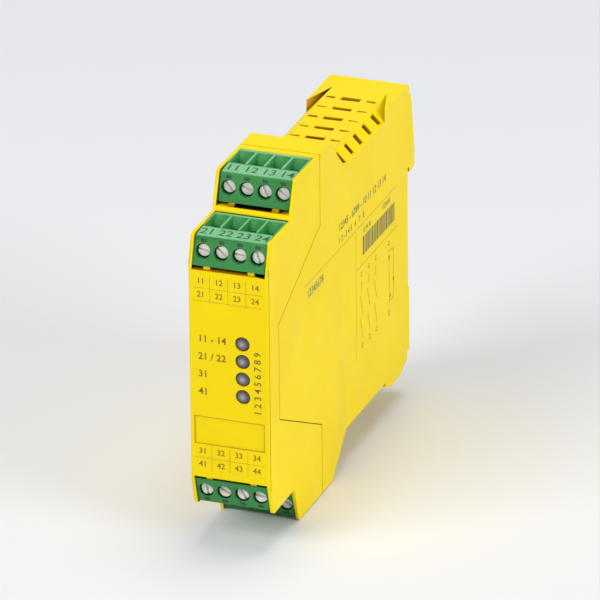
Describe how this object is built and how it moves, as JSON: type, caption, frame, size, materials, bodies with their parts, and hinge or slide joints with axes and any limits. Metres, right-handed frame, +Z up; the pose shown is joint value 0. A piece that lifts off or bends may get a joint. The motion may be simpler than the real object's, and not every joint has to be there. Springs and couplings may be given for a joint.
{
  "type": "safety relay",
  "caption": "Slim yellow safety relay module for a 35 mm rail, with pull-off green screw-terminal plugs, a stepped front with indicator lights, top and bottom vents and a sprung foot latch.",
  "frame": {"origin": "centre of the seat on the rail: middle of the case width, in the plane of the rail's face, at the rail's mid-height", "axes": "+Z up, +Y back towards the cabinet wall (the operating face looks along -Y), +X to the right seen from the front"},
  "size_m": [0.0226, 0.1145, 0.099],
  "materials": {
    "case_yellow": "moulded satin plastic",
    "plug_green": "moulded satin plastic",
    "header_green": "moulded satin plastic",
    "screw_steel": "plated steel",
    "clamp_metal": "plated steel",
    "contact_metal": "tin-plated copper alloy",
    "clear_plastic": "smoked clear plastic",
    "circuit_board": "coated board",
    "relay_case": "moulded plastic",
    "capacitor_can": "sleeved can",
    "transformer_core": "varnished core",
    "chip_black": "moulded epoxy",
    "indicator": "clear epoxy"
  },
  "bodies": {
    "case": {"rear_housing": "case_yellow", "front_cover": "case_yellow", "light_guide": "clear_plastic", "circuit_board": "circuit_board", "safety_relay_one": "relay_case", "safety_relay_two": "relay_case", "capacitor": "capacitor_can", "transformer": "transformer_core", "control_chips": "chip_black", "indicator_leds": "indicator", "header_upper_front": "header_green", "header_pins_upper_front": "contact_metal", "header_upper_rear": "header_green", "header_pins_upper_rear": "contact_metal", "header_lower_front": "header_green", "header_pins_lower_front": "contact_metal", "header_lower_rear": "header_green", "header_pins_lower_rear": "contact_metal"},
    "foot_latch": {"foot_latch": "case_yellow"},
    "plug_upper_front": {"plug_upper_front": "plug_green", "contacts_upper_front": "contact_metal"},
    "screw_upper_front_1": {"screw_upper_front_1": "screw_steel"},
    "cage_upper_front_1": {"cage_upper_front_1": "clamp_metal"},
    "screw_upper_front_2": {"screw_upper_front_2": "screw_steel"},
    "cage_upper_front_2": {"cage_upper_front_2": "clamp_metal"},
    "screw_upper_front_3": {"screw_upper_front_3": "screw_steel"},
    "cage_upper_front_3": {"cage_upper_front_3": "clamp_metal"},
    "screw_upper_front_4": {"screw_upper_front_4": "screw_steel"},
    "cage_upper_front_4": {"cage_upper_front_4": "clamp_metal"},
    "plug_upper_rear": {"plug_upper_rear": "plug_green", "contacts_upper_rear": "contact_metal"},
    "screw_upper_rear_1": {"screw_upper_rear_1": "screw_steel"},
    "cage_upper_rear_1": {"cage_upper_rear_1": "clamp_metal"},
    "screw_upper_rear_2": {"screw_upper_rear_2": "screw_steel"},
    "cage_upper_rear_2": {"cage_upper_rear_2": "clamp_metal"},
    "screw_upper_rear_3": {"screw_upper_rear_3": "screw_steel"},
    "cage_upper_rear_3": {"cage_upper_rear_3": "clamp_metal"},
    "screw_upper_rear_4": {"screw_upper_rear_4": "screw_steel"},
    "cage_upper_rear_4": {"cage_upper_rear_4": "clamp_metal"},
    "plug_lower_front": {"plug_lower_front": "plug_green", "contacts_lower_front": "contact_metal"},
    "screw_lower_front_1": {"screw_lower_front_1": "screw_steel"},
    "cage_lower_front_1": {"cage_lower_front_1": "clamp_metal"},
    "screw_lower_front_2": {"screw_lower_front_2": "screw_steel"},
    "cage_lower_front_2": {"cage_lower_front_2": "clamp_metal"},
    "screw_lower_front_3": {"screw_lower_front_3": "screw_steel"},
    "cage_lower_front_3": {"cage_lower_front_3": "clamp_metal"},
    "screw_lower_front_4": {"screw_lower_front_4": "screw_steel"},
    "cage_lower_front_4": {"cage_lower_front_4": "clamp_metal"},
    "plug_lower_rear": {"plug_lower_rear": "plug_green", "contacts_lower_rear": "contact_metal"},
    "screw_lower_rear_1": {"screw_lower_rear_1": "screw_steel"},
    "cage_lower_rear_1": {"cage_lower_rear_1": "clamp_metal"},
    "screw_lower_rear_2": {"screw_lower_rear_2": "screw_steel"},
    "cage_lower_rear_2": {"cage_lower_rear_2": "clamp_metal"},
    "screw_lower_rear_3": {"screw_lower_rear_3": "screw_steel"},
    "cage_lower_rear_3": {"cage_lower_rear_3": "clamp_metal"},
    "screw_lower_rear_4": {"screw_lower_rear_4": "screw_steel"},
    "cage_lower_rear_4": {"cage_lower_rear_4": "clamp_metal"}
  },
  "joints": [
    {"name": "foot_latch_slide", "type": "slide", "parent": "case", "child": "foot_latch", "axis": [0, 0, -1], "range_m": [0, 0.0035], "stiffness_N_per_m": 1500, "springref_m": -0.001},
    {"name": "plug_upper_front_pull", "type": "slide", "parent": "case", "child": "plug_upper_front", "axis": [0, -1, 0], "range_m": [0, 0.025]},
    {"name": "screw_upper_front_1_turn", "type": "hinge", "parent": "plug_upper_front", "child": "screw_upper_front_1", "pos_m": [-0.00762, -0.1056, 0.0345], "axis": [0, 1, 0], "range_deg": [0, 1800]},
    {"name": "cage_upper_front_1_travel", "type": "slide", "parent": "plug_upper_front", "child": "cage_upper_front_1", "axis": [0, -1, 0], "range_m": [0, 0.0025]},
    {"name": "screw_upper_front_2_turn", "type": "hinge", "parent": "plug_upper_front", "child": "screw_upper_front_2", "pos_m": [-0.00254, -0.1056, 0.0345], "axis": [0, 1, 0], "range_deg": [0, 1800]},
    {"name": "cage_upper_front_2_travel", "type": "slide", "parent": "plug_upper_front", "child": "cage_upper_front_2", "axis": [0, -1, 0], "range_m": [0, 0.0025]},
    {"name": "screw_upper_front_3_turn", "type": "hinge", "parent": "plug_upper_front", "child": "screw_upper_front_3", "pos_m": [0.00254, -0.1056, 0.0345], "axis": [0, 1, 0], "range_deg": [0, 1800]},
    {"name": "cage_upper_front_3_travel", "type": "slide", "parent": "plug_upper_front", "child": "cage_upper_front_3", "axis": [0, -1, 0], "range_m": [0, 0.0025]},
    {"name": "screw_upper_front_4_turn", "type": "hinge", "parent": "plug_upper_front", "child": "screw_upper_front_4", "pos_m": [0.00762, -0.1056, 0.0345], "axis": [0, 1, 0], "range_deg": [0, 1800]},
    {"name": "cage_upper_front_4_travel", "type": "slide", "parent": "plug_upper_front", "child": "cage_upper_front_4", "axis": [0, -1, 0], "range_m": [0, 0.0025]},
    {"name": "plug_upper_rear_pull", "type": "slide", "parent": "case", "child": "plug_upper_rear", "axis": [0, -1, 0], "range_m": [0, 0.025]},
    {"name": "screw_upper_rear_1_turn", "type": "hinge", "parent": "plug_upper_rear", "child": "screw_upper_rear_1", "pos_m": [-0.00762, -0.0864, 0.0449], "axis": [0, 1, 0], "range_deg": [0, 1800]},
    {"name": "cage_upper_rear_1_travel", "type": "slide", "parent": "plug_upper_rear", "child": "cage_upper_rear_1", "axis": [0, -1, 0], "range_m": [0, 0.0025]},
    {"name": "screw_upper_rear_2_turn", "type": "hinge", "parent": "plug_upper_rear", "child": "screw_upper_rear_2", "pos_m": [-0.00254, -0.0864, 0.0449], "axis": [0, 1, 0], "range_deg": [0, 1800]},
    {"name": "cage_upper_rear_2_travel", "type": "slide", "parent": "plug_upper_rear", "child": "cage_upper_rear_2", "axis": [0, -1, 0], "range_m": [0, 0.0025]},
    {"name": "screw_upper_rear_3_turn", "type": "hinge", "parent": "plug_upper_rear", "child": "screw_upper_rear_3", "pos_m": [0.00254, -0.0864, 0.0449], "axis": [0, 1, 0], "range_deg": [0, 1800]},
    {"name": "cage_upper_rear_3_travel", "type": "slide", "parent": "plug_upper_rear", "child": "cage_upper_rear_3", "axis": [0, -1, 0], "range_m": [0, 0.0025]},
    {"name": "screw_upper_rear_4_turn", "type": "hinge", "parent": "plug_upper_rear", "child": "screw_upper_rear_4", "pos_m": [0.00762, -0.0864, 0.0449], "axis": [0, 1, 0], "range_deg": [0, 1800]},
    {"name": "cage_upper_rear_4_travel", "type": "slide", "parent": "plug_upper_rear", "child": "cage_upper_rear_4", "axis": [0, -1, 0], "range_m": [0, 0.0025]},
    {"name": "plug_lower_front_pull", "type": "slide", "parent": "case", "child": "plug_lower_front", "axis": [0, -1, 0], "range_m": [0, 0.025]},
    {"name": "screw_lower_front_1_turn", "type": "hinge", "parent": "plug_lower_front", "child": "screw_lower_front_1", "pos_m": [-0.00762, -0.1056, -0.0345], "axis": [0, 1, 0], "range_deg": [0, 1800]},
    {"name": "cage_lower_front_1_travel", "type": "slide", "parent": "plug_lower_front", "child": "cage_lower_front_1", "axis": [0, -1, 0], "range_m": [0, 0.0025]},
    {"name": "screw_lower_front_2_turn", "type": "hinge", "parent": "plug_lower_front", "child": "screw_lower_front_2", "pos_m": [-0.00254, -0.1056, -0.0345], "axis": [0, 1, 0], "range_deg": [0, 1800]},
    {"name": "cage_lower_front_2_travel", "type": "slide", "parent": "plug_lower_front", "child": "cage_lower_front_2", "axis": [0, -1, 0], "range_m": [0, 0.0025]},
    {"name": "screw_lower_front_3_turn", "type": "hinge", "parent": "plug_lower_front", "child": "screw_lower_front_3", "pos_m": [0.00254, -0.1056, -0.0345], "axis": [0, 1, 0], "range_deg": [0, 1800]},
    {"name": "cage_lower_front_3_travel", "type": "slide", "parent": "plug_lower_front", "child": "cage_lower_front_3", "axis": [0, -1, 0], "range_m": [0, 0.0025]},
    {"name": "screw_lower_front_4_turn", "type": "hinge", "parent": "plug_lower_front", "child": "screw_lower_front_4", "pos_m": [0.00762, -0.1056, -0.0345], "axis": [0, 1, 0], "range_deg": [0, 1800]},
    {"name": "cage_lower_front_4_travel", "type": "slide", "parent": "plug_lower_front", "child": "cage_lower_front_4", "axis": [0, -1, 0], "range_m": [0, 0.0025]},
    {"name": "plug_lower_rear_pull", "type": "slide", "parent": "case", "child": "plug_lower_rear", "axis": [0, -1, 0], "range_m": [0, 0.025]},
    {"name": "screw_lower_rear_1_turn", "type": "hinge", "parent": "plug_lower_rear", "child": "screw_lower_rear_1", "pos_m": [-0.00762, -0.0864, -0.0449], "axis": [0, 1, 0], "range_deg": [0, 1800]},
    {"name": "cage_lower_rear_1_travel", "type": "slide", "parent": "plug_lower_rear", "child": "cage_lower_rear_1", "axis": [0, -1, 0], "range_m": [0, 0.0025]},
    {"name": "screw_lower_rear_2_turn", "type": "hinge", "parent": "plug_lower_rear", "child": "screw_lower_rear_2", "pos_m": [-0.00254, -0.0864, -0.0449], "axis": [0, 1, 0], "range_deg": [0, 1800]},
    {"name": "cage_lower_rear_2_travel", "type": "slide", "parent": "plug_lower_rear", "child": "cage_lower_rear_2", "axis": [0, -1, 0], "range_m": [0, 0.0025]},
    {"name": "screw_lower_rear_3_turn", "type": "hinge", "parent": "plug_lower_rear", "child": "screw_lower_rear_3", "pos_m": [0.00254, -0.0864, -0.0449], "axis": [0, 1, 0], "range_deg": [0, 1800]},
    {"name": "cage_lower_rear_3_travel", "type": "slide", "parent": "plug_lower_rear", "child": "cage_lower_rear_3", "axis": [0, -1, 0], "range_m": [0, 0.0025]},
    {"name": "screw_lower_rear_4_turn", "type": "hinge", "parent": "plug_lower_rear", "child": "screw_lower_rear_4", "pos_m": [0.00762, -0.0864, -0.0449], "axis": [0, 1, 0], "range_deg": [0, 1800]},
    {"name": "cage_lower_rear_4_travel", "type": "slide", "parent": "plug_lower_rear", "child": "cage_lower_rear_4", "axis": [0, -1, 0], "range_m": [0, 0.0025]}
  ],
  "couplings": [
    {"joint": "screw_upper_front_1_turn", "follows": "cage_upper_front_1_travel", "rad_per_m": 12566},
    {"joint": "screw_upper_front_2_turn", "follows": "cage_upper_front_2_travel", "rad_per_m": 12566},
    {"joint": "screw_upper_front_3_turn", "follows": "cage_upper_front_3_travel", "rad_per_m": 12566},
    {"joint": "screw_upper_front_4_turn", "follows": "cage_upper_front_4_travel", "rad_per_m": 12566},
    {"joint": "screw_upper_rear_1_turn", "follows": "cage_upper_rear_1_travel", "rad_per_m": 12566},
    {"joint": "screw_upper_rear_2_turn", "follows": "cage_upper_rear_2_travel", "rad_per_m": 12566},
    {"joint": "screw_upper_rear_3_turn", "follows": "cage_upper_rear_3_travel", "rad_per_m": 12566},
    {"joint": "screw_upper_rear_4_turn", "follows": "cage_upper_rear_4_travel", "rad_per_m": 12566},
    {"joint": "screw_lower_front_1_turn", "follows": "cage_lower_front_1_travel", "rad_per_m": 12566},
    {"joint": "screw_lower_front_2_turn", "follows": "cage_lower_front_2_travel", "rad_per_m": 12566},
    {"joint": "screw_lower_front_3_turn", "follows": "cage_lower_front_3_travel", "rad_per_m": 12566},
    {"joint": "screw_lower_front_4_turn", "follows": "cage_lower_front_4_travel", "rad_per_m": 12566},
    {"joint": "screw_lower_rear_1_turn", "follows": "cage_lower_rear_1_travel", "rad_per_m": 12566},
    {"joint": "screw_lower_rear_2_turn", "follows": "cage_lower_rear_2_travel", "rad_per_m": 12566},
    {"joint": "screw_lower_rear_3_turn", "follows": "cage_lower_rear_3_travel", "rad_per_m": 12566},
    {"joint": "screw_lower_rear_4_turn", "follows": "cage_lower_rear_4_travel", "rad_per_m": 12566}
  ]
}
